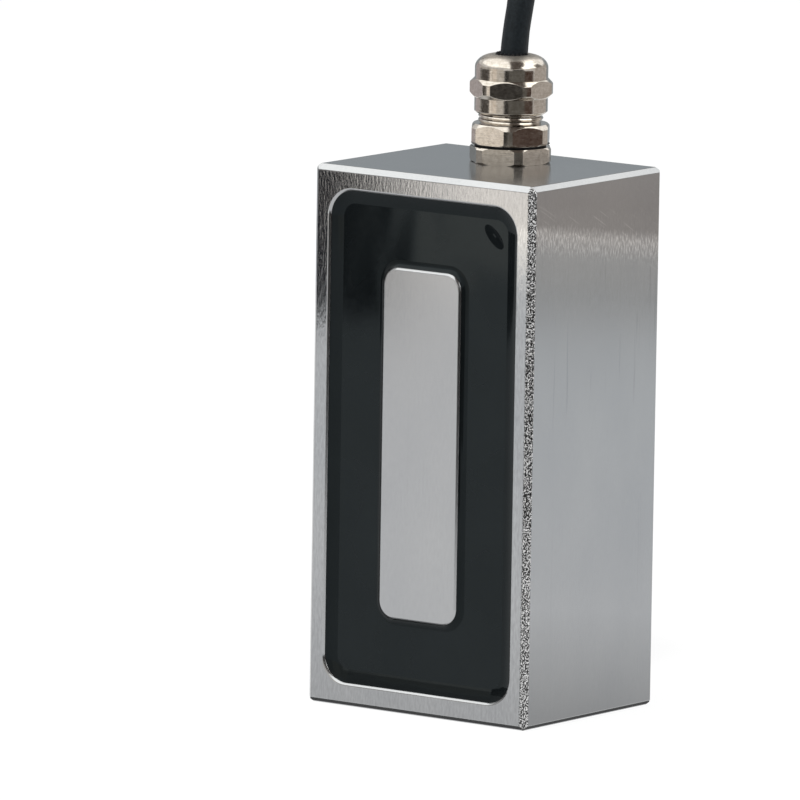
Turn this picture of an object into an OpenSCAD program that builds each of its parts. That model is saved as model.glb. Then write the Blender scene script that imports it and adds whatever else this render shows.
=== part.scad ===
// Rectangular holding electromagnet: a milled steel housing with its pole core, a potted coil behind the
// pole face, and a metal cable gland with its cable on top. Millimetres, +Z up, pole face towards -Y,
// mounting face towards +Y, origin at the middle of the base.

/* [Housing] */
// Width of the housing, across the pole face
body_w = 50; // [46:1:80]
// Depth of the housing, from the pole face to the mounting face
body_d = 40; // [36:1:60]
// Height of the housing
body_h = 100; // [90:1:160]
// Chamfer on every outer edge
body_chamfer = 1; // [0.4:0.1:1.5]
// Thickness of the side walls of the pocket
side_wall = 3.9; // [3:0.1:5]
// Thickness of the top and bottom walls of the pocket
end_wall = 4.4; // [3.5:0.1:6]
// Thickness of the wall behind the pocket
back_wall = 6; // [4:0.5:8]
// Corner radius of the pocket
pocket_r = 5; // [3:0.5:7]
// Edge break round the pocket and round the core
edge_break = 0.4; // [0.2:0.1:0.5]

/* [Pole core] */
// Gap between the core and each side wall
window_side = 12.3; // [11:0.1:14]
// Gap between the core and each end wall
window_end = 13.1; // [12.2:0.1:16]
// Corner radius of the core
core_r = 3.2; // [2:0.1:5]

/* [Mounting holes] */
// Diameter of the two tapped holes in the mounting face
mount_hole_d = 6.8; // [5:0.1:8.5]
// Distance between the two tapped holes
mount_pitch = 50; // [30:1:54]
// Depth of the tapped holes
mount_depth = 14; // [8:1:20]

/* [Coil] */
// Clearance between the bobbin and the core
core_gap = 0.2; // [0.1:0.05:0.4]
// Thickness of the bobbin tube
bobbin_wall = 1.2; // [0.8:0.1:2]
// Thickness of the bobbin flanges
flange_t = 1.2; // [0.8:0.1:2]
// Thickness of the tape wrap over the winding
wrap_t = 0.5; // [0.2:0.1:1]
// Resin between the coil and the side walls
resin_side = 3.3; // [2.5:0.1:4]
// Depth of the coil's front flange below the pole face
coil_depth = 5; // [3:0.5:8]

/* [Potting resin] */
// Depth of the resin's wetted rim below the pole face
resin_drop = 0.5; // [0.5:0.1:1]
// Rise of the resin where it climbs the steel
meniscus_rise = 0.6; // [0.3:0.1:1]
// Width of the curved band along the pocket wall
meniscus_wall = 2.4; // [1:0.1:3]
// Width of the curved band round the core
meniscus_core = 1.3; // [0.8:0.1:2]
// Angle at which the curved bands leave the flat resin
meniscus_foot = 5; // [3:1:8]
// Length of the pour dimple in the upper right corner
dimple_l = 5.6; // [4:0.1:7]
// Width of the pour dimple
dimple_w = 2.4; // [1.5:0.1:3]
// Depth of the pour dimple
dimple_depth = 0.4; // [0.2:0.1:0.6]
// Distance of the dimple from the pocket's corner centre
dimple_inset = 0.8; // [0.4:0.1:2]

/* [Inner leads] */
// Diameter of the insulated leads in the resin
lead_d = 1.6; // [1:0.1:1.8]
// Distance between the two leads where they leave the cable
lead_pitch = 2.4; // [2:0.1:3]
// Distance of the leads from the middle where they drop to the coil
lead_reach = 14; // [12:0.5:15]
// Diameter of the shrink sleeves over the splices
sleeve_d = 2.4; // [2:0.1:2.6]
// Length of the shrink sleeves
sleeve_l = 6; // [4:0.5:7]

/* [Cable gland] */
// Distance of the gland's axis from the mounting face
gland_setback = 13.4; // [11:0.1:18]
// Diameter of the gland's thread
thread_d = 12; // [11:0.1:12.4]
// Radial clearance of the threads
thread_gap = 0.05; // [0.02:0.01:0.1]
// Width across the flats of the three hexagons
hex_af = 14; // [13.8:0.1:16]
// Diameter that the corners of the hexagons are turned down to
hex_corner_d = 15.3; // [15:0.1:17]
// Height of the corner chamfer of the hexagons
hex_chamfer = 0.8; // [0.5:0.1:1.2]
// Height of the lock nut
nut_h = 3; // [2.5:0.1:4]
// Thickness of the sealing washer
washer_t = 0.5; // [0.4:0.1:1]
// Diameter of the sealing washer
washer_d = 13.2; // [12.8:0.1:13.6]
// Height of the gland body's hexagon
body_hex_h = 3.7; // [3:0.1:5]
// Length of thread left open between the body and the dome nut
neck_gap = 1.9; // [1:0.1:3]
// Height of the dome nut's lower collar
skirt_h = 2.9; // [2:0.1:4]
// Height of the dome nut's hexagon
dome_hex_h = 3.5; // [3:0.1:5]
// Height of the dome nut's upper collar
collar_h = 1.9; // [1:0.1:3]
// Diameter of the dome nut's two collars
collar_d = 13.5; // [13.3:0.1:13.8]
// Radius of the dome
dome_r = 2.5; // [2.4:0.1:3.1]
// Chamfer on the lower edge of the dome nut
skirt_chamfer = 0.35; // [0.2:0.05:0.5]
// Bore of the gland body
gland_bore_d = 7.6; // [7:0.1:8.4]
// Diameter of the claw's seat in the gland body
claw_d = 9.6; // [9:0.1:10]
// Depth of the claw's seat in the gland body
claw_seat = 4; // [3:0.5:5]
// Clearance between the claw and the dome nut
claw_gap = 0.1; // [0.05:0.05:0.2]
// Number of slots between the claw's fingers
claw_slots = 8; // [6:1:10]
// Width of the slots between the claw's fingers
slot_w = 0.6; // [0.4:0.1:0.8]
// Outer diameter of the rubber grommet
grommet_d = 7; // [6.6:0.1:7.4]
// Diameter of the grommet's nose in the mouth of the dome
nose_d = 6; // [5.6:0.1:6.4]
// Height of the grommet's nose above the dome
nose_h = 0.3; // [0.2:0.1:0.6]

/* [Cable] */
// Diameter of the cable
cable_d = 5; // [4.6:0.1:5.2]
// Diameter of the coiled cable at the middle of its turns
turn_d = 50; // [48:1:54]
// Diameter of the two cores at the cable's far end
strand_d = 1.8; // [1.2:0.1:2]
// Length of bare tinned wire at the end of each core
tip_l = 6; // [4:0.5:8]
// Diameter of the tinned wire
tip_d = 1.2; // [0.8:0.1:1.2]
// Thickness of the coil's tie
tie_t = 0.6; // [0.4:0.1:1]
// Width of the coil's tie
tie_w = 4; // [3:0.5:6]

/* [Hidden] */
$fn = 64;

over = 1;                                   // how far a cutter runs past the face that it opens
pocket_w = body_w - 2 * side_wall;
pocket_h = body_h - 2 * end_wall;
pocket_depth = body_d - back_wall;
core_w = pocket_w - 2 * window_side;
core_h = pocket_h - 2 * window_end;

coil_t = window_side - resin_side;          // from the core's face to the outside of the coil
tube_in = core_gap;
tube_out = core_gap + bobbin_wall;
wire_out = coil_t - wrap_t;
flat_depth = resin_drop + meniscus_rise;    // depth of the flat resin below the pole face
dimple_r = (dimple_w * dimple_w / 4 + dimple_depth * dimple_depth) / (2 * dimple_depth);
dimple_sweep = (dimple_l * dimple_l / 4 + dimple_depth * dimple_depth) / (2 * dimple_depth);

lead_room = window_end - coil_t;            // height left above the coil for the leads
lead_z = body_h - end_wall - lead_room / 2;
lead_x = lead_pitch / 2;

gland_y = body_d / 2 - gland_setback;
washer_z = nut_h;
body_z = washer_z + washer_t;
neck_z = body_z + body_hex_h;
dome_z = neck_z + neck_gap;
dome_hex_z = dome_z + skirt_h;
collar_z = dome_hex_z + dome_hex_h;
crown_z = collar_z + collar_h;
gland_top = crown_z + dome_r;
neck_top = dome_hex_z + dome_hex_h / 2;     // the neck ends half way up the dome nut's hexagon
seat_z = neck_top - claw_seat;
mouth_d = nose_d + 2 * claw_gap;            // mouth of the dome, round the grommet's nose
finger_top = crown_z + dome_r / 2;          // the fingers end inside the dome
finger_r = nose_d / 2 + claw_gap + (claw_d - nose_d) / 4;
nut_turn = 18;                              // how far each hexagon is turned round the gland's axis
body_turn = 3;
dome_turn = 29;

// Middle of the coil on the floor, behind the housing.
coil_at = [-body_w / 2 - 14, body_d / 2 + 31.5];
coil_layers = 2.3;                          // two turns high, and the climb from one to the next
coil_top = tie_t + coil_layers * cable_d;   // the cable lands on the coil here
outer_turn = (turn_d + cable_d) / 2;
tie_at = 45;                                // bearing of the tie on the coil
strand_from = 118;                          // bearing at which the two cores leave the coil
strand_turn = 72;                           // bearing that they run through
strand_gap = 0.36;                          // between the two cores
strand_steps = 6;
strand_sides = 8;
cable_sides = 10;

// The cable's way: straight through the gland, over in one arch, and down onto the coil.
exit_z = body_h + gland_top + nose_h;
lie_z = coil_top + cable_d / 2;             // middle of the cable where it lies on the coil
// From the top of the grommet.
arch = [[1, 1.5, 10], [0, 5, 20], [-4, 10.5, 30], [-10, 18.5, 38], [-17, 28.5, 42.5],
        [-25.5, 39, 42.5], [-33, 49.5, 38], [-39.5, 57.5, 29], [-43.5, 63, 17.5], [-45, 64.5, 4],
        [-46.5, 64, -6.5]];
// From the middle of the coil.
landing = [[-8, 19.5, 87.5], [-8, 19.5, 75.5], [-8, 19.5, 63.5], [-8, 19.5, 51.5], [-8, 19.5, 40],
           [-10, 19, 27], [-15, 16, 15.5], [-21.5, 8, 7], [-23.5, -3, 2.5], [-19.5, -13, 0.5],
           [-10, -20.5, 0], [2, -22.5, 0]];
route = concat([for (z = [body_h - end_wall, body_h + dome_z, exit_z + nose_h]) [0, gland_y, z]],
               [for (p = arch) [0, gland_y, exit_z] + p],
               [for (p = landing) [coil_at[0], coil_at[1], lie_z] + p]);

// The frame of the pole face: x across, y up the face, z out of it.
module on_face() {
  translate([0, -body_d / 2, body_h / 2]) rotate([90, 0, 0]) children();
}

// The frame of the gland: its axis, from the top of the housing upwards.
module on_gland() {
  translate([0, gland_y, body_h]) children();
}

// A rectangle with round corners.
module rounded(w, h, r) {
  square([w - 2 * r, h], center = true);
  square([w, h - 2 * r], center = true);
  for (x = [-1, 1], y = [-1, 1]) translate([x * (w / 2 - r), y * (h / 2 - r)]) circle(r);
}

// A prism of that outline between two heights.
module block(w, h, r, z0, z1) {
  translate([0, 0, z0]) linear_extrude(z1 - z0) rounded(w, h, r);
}

// The same outline, growing by grow on every side between two heights.
module flared(w, h, r, z0, z1, grow) {
  for (side = [[w, h, 0], [h, w, 90]])
    rotate([0, 0, side[2]])
      translate([0, side[1] / 2 - r, 0]) rotate([90, 0, 0]) linear_extrude(side[1] - 2 * r)
        polygon([[-side[0] / 2, z0], [side[0] / 2, z0], [side[0] / 2 + grow, z1],
                 [-side[0] / 2 - grow, z1]]);
  for (x = [-1, 1], y = [-1, 1])
    translate([x * (w / 2 - r), y * (h / 2 - r), z0]) cylinder(h = z1 - z0, r1 = r, r2 = r + grow);
}

// A ring round the core: its inner and outer offsets from the core, and its depths below the pole face.
module round_core(inner, outer, deep, shallow) {
  difference() {
    block(core_w + 2 * outer, core_h + 2 * outer, core_r + outer, -deep, -shallow);
    block(core_w + 2 * inner, core_h + 2 * inner, core_r + inner, -deep - over, -shallow + over);
  }
}

// Section of a liquid edge: a band of that width that climbs a wall at x = 0 in one hollow arc.
module meniscus(band, rise) {
  arc = norm([band, rise]) / (2 * sin(atan2(rise, band) - meniscus_foot));
  difference() {
    square([band, rise]);
    translate([band + arc * sin(meniscus_foot), arc * cos(meniscus_foot)]) circle(arc);
  }
}

// That section taken once round a rounded rectangle, inside it or outside it.
module meniscus_round(w, h, r, band, rise, inside) {
  for (k = [0:3]) {
    reach = (k % 2 == 0 ? w : h) / 2;
    run = (k % 2 == 0 ? h : w) - 2 * r;
    rotate([0, 0, 90 * k]) {
      translate([reach, run / 2, 0]) rotate([90, 0, 0]) linear_extrude(run)
        mirror([inside ? 1 : 0, 0]) meniscus(band, rise);
      translate([reach - r, run / 2, 0]) rotate_extrude(angle = 90)
        translate([r, 0]) mirror([inside ? 1 : 0, 0]) meniscus(band, rise);
    }
  }
}

// A block with all twelve edges chamfered, standing on the floor.
module chamfered_block(w, d, h, c) {
  translate([0, 0, h / 2]) intersection() {
    linear_extrude(h, center = true) cut_corners(w, d, c);
    rotate([90, 0, 0]) linear_extrude(d, center = true) cut_corners(w, h, c);
    rotate([90, 0, 90]) linear_extrude(w, center = true) cut_corners(d, h, c);
  }
}

module cut_corners(w, h, c) {
  polygon([[c - w / 2, -h / 2], [w / 2 - c, -h / 2], [w / 2, c - h / 2], [w / 2, h / 2 - c],
           [w / 2 - c, h / 2], [c - w / 2, h / 2], [-w / 2, h / 2 - c], [-w / 2, c - h / 2]]);
}

// The milled pocket with the core standing in it.
module pocket() {
  difference() {
    union() {
      block(pocket_w, pocket_h, pocket_r, -pocket_depth, over);
      flared(pocket_w, pocket_h, pocket_r, -edge_break, over, edge_break + over);
    }
    block(core_w, core_h, core_r, -pocket_depth - over, -edge_break);
    flared(core_w, core_h, core_r, -edge_break, 0, -edge_break);
  }
}

module housing() {
  color("silver") difference() {
    chamfered_block(body_w, body_d, body_h, body_chamfer);
    on_face() pocket();
    on_gland() translate([0, 0, -end_wall - over])
      cylinder(h = end_wall + 2 * over, d = thread_d + 2 * thread_gap);
    for (s = [-1, 1])
      translate([0, body_d / 2 - mount_depth, body_h / 2 + s * mount_pitch / 2])
        rotate([-90, 0, 0]) cylinder(h = mount_depth + over, d = mount_hole_d);
  }
}

module coil_bobbin() {
  color("ivory") on_face() {
    round_core(tube_in, tube_out, pocket_depth, coil_depth);
    round_core(tube_in, coil_t, pocket_depth, pocket_depth - flange_t);
    round_core(tube_in, coil_t, coil_depth + flange_t, coil_depth);
  }
}

module copper_winding() {
  color("peru") on_face() round_core(tube_out, wire_out, pocket_depth - flange_t, coil_depth + flange_t);
}

module winding_wrap() {
  color("goldenrod") on_face() round_core(wire_out, coil_t, pocket_depth - flange_t, coil_depth + flange_t);
}

// Everything the coil takes up in the pocket.
module coil_space() {
  on_face() block(core_w + 2 * coil_t, core_h + 2 * coil_t, core_r + coil_t, -pocket_depth, -coil_depth);
}

// A shallow oblong hollow in the flat resin, across the pocket's upper right corner.
module dimple() {
  translate([pocket_w / 2 - pocket_r, pocket_h / 2 - pocket_r, 0]) rotate([0, 0, -45])
    translate([0, -dimple_inset, dimple_sweep - dimple_depth - flat_depth]) rotate([90, 0, 0])
      rotate_extrude() translate([dimple_sweep - dimple_r, 0]) circle(dimple_r);
}

module potting_resin() {
  color([0.06, 0.06, 0.07]) difference() {
    on_face() difference() {
      union() {
        difference() {
          block(pocket_w, pocket_h, pocket_r, -pocket_depth, -flat_depth);
          block(core_w, core_h, core_r, -pocket_depth - over, over);
        }
        translate([0, 0, -flat_depth]) {
          meniscus_round(pocket_w, pocket_h, pocket_r, meniscus_wall, meniscus_rise, true);
          meniscus_round(core_w, core_h, core_r, meniscus_core, meniscus_rise, false);
        }
      }
      dimple();
    }
    coil_space();
    for (s = [-1, 1]) {
      inner_lead(s);
      sleeve(s);
    }
  }
}

// One lead: out of the cable's end, sideways above the coil and down onto the winding's wrap.
module inner_lead(s) {
  bend = lead_room / 2;
  difference() {
    translate([0, gland_y, lead_z]) mirror([s < 0 ? 1 : 0, 0, 0]) {
      translate([lead_x + bend, 0, bend]) rotate([90, 0, 0]) rotate([0, 0, 180])
        rotate_extrude(angle = 90) translate([bend, 0]) circle(d = lead_d);
      translate([lead_x + bend, 0, 0]) rotate([0, 90, 0])
        cylinder(h = lead_reach - lead_x - 2 * bend, d = lead_d);
      translate([lead_reach - bend, 0, -bend]) rotate([90, 0, 0])
        rotate_extrude(angle = 90) translate([bend, 0]) circle(d = lead_d);
      translate([lead_reach, 0, -bend - coil_t]) cylinder(h = coil_t, d = lead_d);
    }
    coil_space();
  }
}

module sleeve(s) {
  translate([s * (lead_x + lead_reach) / 2, gland_y, lead_z]) rotate([0, 90, 0])
    cylinder(h = sleeve_l, d = sleeve_d, center = true);
}

module inner_lead_brown() {
  color("saddlebrown") inner_lead(-1);
}

module inner_lead_blue() {
  color("royalblue") inner_lead(1);
}

module splice_sleeves() {
  color([0.1, 0.1, 0.1]) for (s = [-1, 1]) difference() {
    sleeve(s);
    inner_lead(s);
  }
}

// A hexagon with its corners turned down, chamfered at the bottom and at the top where asked.
module hexagon(h, turn, low, high) {
  out = hex_corner_d / 2;
  intersection() {
    rotate([0, 0, turn]) cylinder(h = h, d = hex_af / cos(30), $fn = 6);
    rotate_extrude() polygon([[0, 0], [out - low, 0], [out, low], [out, h - high], [out - high, h], [0, h]]);
  }
}

module lock_nut() {
  color([0.72, 0.68, 0.62]) on_gland() difference() {
    hexagon(nut_h, nut_turn, hex_chamfer / 2, hex_chamfer / 2);
    translate([0, 0, -over]) cylinder(h = nut_h + 2 * over, d = thread_d + 2 * thread_gap);
  }
}

module sealing_washer() {
  color([0.1, 0.1, 0.1]) on_gland() translate([0, 0, washer_z]) difference() {
    cylinder(h = washer_t, d = washer_d);
    translate([0, 0, -over]) cylinder(h = washer_t + 2 * over, d = thread_d + 2 * thread_gap);
  }
}

module gland_body() {
  color([0.72, 0.68, 0.62]) on_gland() difference() {
    union() {
      translate([0, 0, -end_wall]) cylinder(h = end_wall + neck_top, d = thread_d);
      translate([0, 0, body_z]) hexagon(body_hex_h, body_turn, hex_chamfer / 2, hex_chamfer);
    }
    translate([0, 0, -end_wall - over]) cylinder(h = end_wall + neck_top + 2 * over, d = gland_bore_d);
    translate([0, 0, seat_z]) cylinder(h = claw_seat + over, d = claw_d);
  }
}

// A plastic ring in the gland body, with fingers that the dome nut presses in on the grommet.
module clamping_claw() {
  color([0.2, 0.2, 0.21]) on_gland() difference() {
    rotate_extrude() polygon([[grommet_d / 2, seat_z], [claw_d / 2, seat_z], [claw_d / 2, neck_top],
                              [finger_r, finger_top], [grommet_d / 2, finger_top]]);
    for (k = [0:claw_slots - 1]) rotate([0, 0, 360 * k / claw_slots])
      translate([0, -slot_w / 2, neck_top]) cube([claw_d, slot_w, finger_top]);
  }
}

// A rubber sleeve round the cable, with a nose that shows in the mouth of the dome.
module sealing_grommet() {
  color([0.08, 0.08, 0.08]) on_gland() rotate_extrude()
    polygon([[cable_d / 2, seat_z], [grommet_d / 2, seat_z], [grommet_d / 2, finger_top],
             [nose_d / 2, finger_top + claw_gap], [nose_d / 2, gland_top + nose_h],
             [cable_d / 2, gland_top + nose_h]]);
}

// The dome nut's outer form: collar, hexagon, collar and dome.
module dome_form() {
  out = collar_d / 2;
  rotate_extrude() {
    polygon([[0, dome_z], [out - skirt_chamfer, dome_z], [out, dome_z + skirt_chamfer], [out, crown_z],
             [0, crown_z]]);
    translate([0, crown_z]) square([out - dome_r, dome_r]);
    translate([out - dome_r, crown_z]) intersection() {
      circle(dome_r);
      square(dome_r);
    }
  }
  translate([0, 0, dome_hex_z]) hexagon(dome_hex_h, dome_turn, hex_chamfer, hex_chamfer);
}

module dome_nut() {
  color([0.72, 0.68, 0.62]) on_gland() difference() {
    dome_form();
    rotate_extrude() polygon([[0, dome_z - over], [thread_d / 2 + thread_gap, dome_z - over],
                              [thread_d / 2 + thread_gap, neck_top], [claw_d / 2 + claw_gap, neck_top],
                              [finger_r + claw_gap, finger_top + claw_gap],
                              [mouth_d / 2, finger_top + claw_gap],
                              [mouth_d / 2, gland_top + over], [0, gland_top + over]]);
  }
}

// Sweep of a round section along points: a ring of corners at each point, square to the way there.
function unit(v) = v / norm(v);
function heading(p, i) = unit(p[min(i + 1, len(p) - 1)] - p[max(i - 1, 0)]);
function squared(v, t) = unit(v - (v * t) * t);
function sides_of(p, first) =
  [for (i = 0, n = squared(first, heading(p, 0)); i < len(p);
        i = i + 1, n = i < len(p) ? squared(n, heading(p, i)) : n) n];
function ring(c, t, n, r, k) =
  [for (j = [0:k - 1]) c + r * (cos(360 * j / k) * n + sin(360 * j / k) * cross(t, n))];

module tube(p, d, k, first) {
  n = sides_of(p, first);
  last = len(p) - 1;
  corners = [for (i = [0:last]) each ring(p[i], heading(p, i), n[i], d / 2, k)];
  walls = [for (i = [0:last - 1], j = [0:k - 1])
             [i * k + j, (i + 1) * k + j, (i + 1) * k + (j + 1) % k, i * k + (j + 1) % k]];
  near = [for (j = [0:k - 1]) j];
  far = [for (j = [k - 1:-1:0]) last * k + j];
  polyhedron(corners, concat(walls, [near, far]), convexity = 8);
}

module cable() {
  color([0.1, 0.1, 0.11]) tube(route, cable_d, cable_sides, [1, 0, 0]);
}

// The outer shape of the coiled turns, lying on the tie's thickness.
module coil_ring() {
  translate([coil_at[0], coil_at[1], tie_t]) rotate_extrude()
    translate([turn_d / 2 - cable_d, 0]) square([2 * cable_d, coil_top - tie_t]);
}

module cable_coil() {
  color([0.1, 0.1, 0.11]) coil_ring();
}

// A flat strap round the turns, at one place on the coil.
module coil_tie() {
  color([0.15, 0.15, 0.16]) difference() {
    translate([coil_at[0], coil_at[1], 0]) rotate([0, 0, tie_at])
      translate([turn_d / 2 - cable_d - tie_t, -tie_w / 2, 0])
        cube([2 * (cable_d + tie_t), tie_w, coil_top + tie_t]);
    coil_ring();
  }
}

// The two cores lie side by side on the coil, each on its own radius.
function strand_r(s) = outer_turn + s * (strand_d + strand_gap) / 2;
function strand_point(s, a) =
  [coil_at[0] + strand_r(s) * cos(a), coil_at[1] + strand_r(s) * sin(a), coil_top + strand_d / 2];
function strand(s) =
  [for (i = [0:strand_steps]) strand_point(s, strand_from + strand_turn * i / strand_steps)];

module lead_brown() {
  color("saddlebrown") tube(strand(1), strand_d, strand_sides, [0, 0, 1]);
}

module lead_blue() {
  color("royalblue") tube(strand(-1), strand_d, strand_sides, [0, 0, 1]);
}

module tinned_tips() {
  color("silver") for (s = [-1, 1]) {
    end = strand_point(s, strand_from + strand_turn);
    translate(end) rotate([0, 0, strand_from + strand_turn * (1 - 0.5 / strand_steps)]) rotate([-90, 0, 0])
      cylinder(h = tip_l, d = tip_d);
  }
}

housing();
coil_bobbin();
copper_winding();
winding_wrap();
potting_resin();
inner_lead_brown();
inner_lead_blue();
splice_sleeves();
lock_nut();
sealing_washer();
gland_body();
clamping_claw();
sealing_grommet();
dome_nut();
cable();
cable_coil();
coil_tie();
lead_brown();
lead_blue();
tinned_tips();
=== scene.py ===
import math

import bmesh
import bpy
from mathutils import Matrix, Vector


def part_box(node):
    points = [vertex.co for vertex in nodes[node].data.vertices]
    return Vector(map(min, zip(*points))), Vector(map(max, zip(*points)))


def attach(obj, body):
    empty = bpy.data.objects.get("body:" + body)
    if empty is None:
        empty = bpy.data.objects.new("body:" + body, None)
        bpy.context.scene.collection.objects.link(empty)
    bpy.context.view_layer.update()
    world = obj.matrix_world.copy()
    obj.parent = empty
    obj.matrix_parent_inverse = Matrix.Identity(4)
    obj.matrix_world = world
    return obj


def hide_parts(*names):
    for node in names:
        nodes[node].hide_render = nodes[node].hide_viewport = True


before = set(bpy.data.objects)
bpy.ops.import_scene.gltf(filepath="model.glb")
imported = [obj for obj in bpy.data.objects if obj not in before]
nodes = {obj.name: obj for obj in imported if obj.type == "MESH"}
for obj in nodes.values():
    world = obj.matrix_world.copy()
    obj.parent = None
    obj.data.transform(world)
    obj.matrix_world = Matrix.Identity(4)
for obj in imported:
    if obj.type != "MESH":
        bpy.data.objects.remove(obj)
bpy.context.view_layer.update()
mm = 0.001


# helpers for objects, shader trees and geometry trees

def addObject(name, data):
    thing = bpy.data.objects.new(name, data)
    bpy.context.scene.collection.objects.link(thing)
    return thing


def makeNode(tree, kind, inputs=None, **settings):
    node = tree.nodes.new(kind)
    for key, value in settings.items():
        setattr(node, key, value)
    for key, value in (inputs or {}).items():
        node.inputs[key].default_value = value
    return node


def join(tree, source, target):
    tree.links.new(source, target)


def joinAll(tree, *pairs):
    for source, target in pairs:
        tree.links.new(source, target)


def newFinish(name, baseColor, metallic=0.0, roughness=0.4, **extra):
    material = bpy.data.materials.new(name)
    material.use_nodes = True
    tree = material.node_tree
    shader = tree.nodes["Principled BSDF"]
    shader.inputs["Base Color"].default_value = (*baseColor, 1)
    shader.inputs["Metallic"].default_value = metallic
    shader.inputs["Roughness"].default_value = roughness
    for key, value in extra.items():
        shader.inputs[key.replace("_", " ")].default_value = value
    return material, tree, shader


def objectNoise(tree, scale, detail=3.0, roughness=0.55, distortion=0.0, lean=0):
    # noise on Object coordinates turned by lean degrees about x, scale is cells per metre along x, y, z
    coords = makeNode(tree, "ShaderNodeTexCoord")
    turned = makeNode(tree, "ShaderNodeMapping", {"Rotation": (math.radians(lean), 0, 0)})
    mapping = makeNode(tree, "ShaderNodeMapping", {"Scale": scale})
    noise = makeNode(tree, "ShaderNodeTexNoise",
                     {"Scale": 1.0, "Detail": detail, "Roughness": roughness, "Distortion": distortion})
    joinAll(tree, (coords.outputs["Object"], turned.inputs["Vector"]),
            (turned.outputs["Vector"], mapping.inputs["Vector"]),
            (mapping.outputs["Vector"], noise.inputs["Vector"]))
    return noise.outputs["Fac"]


def ramp(tree, source, stops):
    node = makeNode(tree, "ShaderNodeValToRGB")
    points = node.color_ramp.elements
    while len(points) < len(stops):
        points.new(0.5)
    for point, (place, shade) in zip(points, stops):
        point.position = place
        point.color = (*shade, 1) if isinstance(shade, tuple) else (shade, shade, shade, 1)
    join(tree, source, node.inputs["Fac"])
    return node.outputs["Color"]


def blendColors(tree, mode, amount, first, second):
    node = makeNode(tree, "ShaderNodeMix", {0: amount} if isinstance(amount, float) else None,
                    data_type="RGBA", blend_type=mode)
    if not isinstance(amount, float):
        join(tree, amount, node.inputs[0])
    joinAll(tree, (first, node.inputs[6]), (second, node.inputs[7]))
    return node.outputs[2]


def combined(tree, operation, first, second):
    node = makeNode(tree, "ShaderNodeMath", operation=operation)
    joinAll(tree, (first, node.inputs[0]), (second, node.inputs[1]))
    return node.outputs[0]


def bumpFrom(tree, shader, height, distance, strength=1.0):
    node = makeNode(tree, "ShaderNodeBump", {"Strength": strength, "Distance": distance})
    joinAll(tree, (height, node.inputs["Height"]), (node.outputs["Normal"], shader.inputs["Normal"]))


def toRange(tree, source, low, high, start=0.0, end=1.0):
    node = makeNode(tree, "ShaderNodeMapRange",
                    {"From Min": start, "From Max": end, "To Min": low, "To Max": high})
    join(tree, source, node.inputs["Value"])
    return node.outputs["Result"]


# camera at the photograph's viewing angle

cameraSet = {"azimuth": 36.836, "elevation": 8.52, "roll": 0.905, "distance": 2.3197, "lens": 627.5,
             "sensor": 36, "reach": 20, "aim": (0.1309, -0.2007, 0.092)}


def placeCamera(setup):
    turn, tilt, roll = (math.radians(setup[key]) for key in ("azimuth", "elevation", "roll"))
    away = Vector((math.sin(turn) * math.cos(tilt), -math.cos(turn) * math.cos(tilt), math.sin(tilt)))
    right = Vector((0, 0, 1)).cross(away).normalized()
    up = away.cross(right)
    rolledRight = math.cos(roll) * right + math.sin(roll) * up
    rolledUp = math.cos(roll) * up - math.sin(roll) * right
    data = bpy.data.cameras.new("photoCamera")
    data.sensor_width = setup["sensor"]
    data.lens = setup["lens"]
    data.clip_end = setup["reach"]
    camera = addObject("photoCamera", data)
    spot = Vector(setup["aim"]) + setup["distance"] * away
    facing = Matrix((rolledRight, rolledUp, away)).transposed().to_4x4()
    camera.matrix_world = Matrix.Translation(spot) @ facing
    bpy.context.scene.camera = camera


placeCamera(cameraSet)
print("camera placed")


# stage: white floor and backdrop, soft lamps and cards

def lightMix(tree, seen, other):
    # seen by the camera, in gloss and through glass, other for the rest of the light
    path = makeNode(tree, "ShaderNodeLightPath")
    shown = path.outputs["Is Camera Ray"]
    for ray in ("Is Glossy Ray", "Is Transmission Ray"):
        total = makeNode(tree, "ShaderNodeMath", operation="ADD", use_clamp=True)
        joinAll(tree, (shown, total.inputs[0]), (path.outputs[ray], total.inputs[1]))
        shown = total.outputs[0]
    mix = makeNode(tree, "ShaderNodeMixShader")
    joinAll(tree, (shown, mix.inputs[0]), (other, mix.inputs[1]), (seen, mix.inputs[2]))
    return mix.outputs[0]


worldSet = {"seen": 1.0, "diffuse": 0.5}


def paintWorld(setup):
    world = bpy.data.worlds.new("whiteRoom")
    bpy.context.scene.world = world
    world.use_nodes = True
    tree = world.node_tree
    tree.nodes.clear()
    seen, other = (makeNode(tree, "ShaderNodeBackground", {"Color": (1, 1, 1, 1), "Strength": setup[key]})
                   for key in ("seen", "diffuse"))
    out = makeNode(tree, "ShaderNodeOutputWorld")
    join(tree, lightMix(tree, seen.outputs[0], other.outputs[0]), out.inputs["Surface"])


paintWorld(worldSet)


def addBoard(name, corners, material):
    mesh = bpy.data.meshes.new(name)
    mesh.from_pydata(corners, [], [range(len(corners))])
    mesh.materials.append(material)
    return addObject(name, mesh)


def levelCorners(x, y, z):
    return [(-x, -y, z), (x, -y, z), (x, y, z), (-x, y, z)]


floorSet = {"half": 6.0, "paint": 0.92, "glow": 1.08, "share": 0.84}


def layFloor(setup):
    material, tree, shader = newFinish("floorPaint", (setup["paint"],) * 3, roughness=1.0,
                                       Specular_IOR_Level=0.0)
    glow = makeNode(tree, "ShaderNodeEmission", {"Color": (1, 1, 1, 1), "Strength": setup["glow"]})
    lit = makeNode(tree, "ShaderNodeMixShader", {"Fac": setup["share"]})
    joinAll(tree, (shader.outputs[0], lit.inputs[1]), (glow.outputs[0], lit.inputs[2]))
    out = tree.nodes["Material Output"]
    join(tree, lightMix(tree, lit.outputs[0], shader.outputs[0]), out.inputs["Surface"])
    floor = addBoard("floor", levelCorners(setup["half"], setup["half"], 0), material)


layFloor(floorSet)


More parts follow.
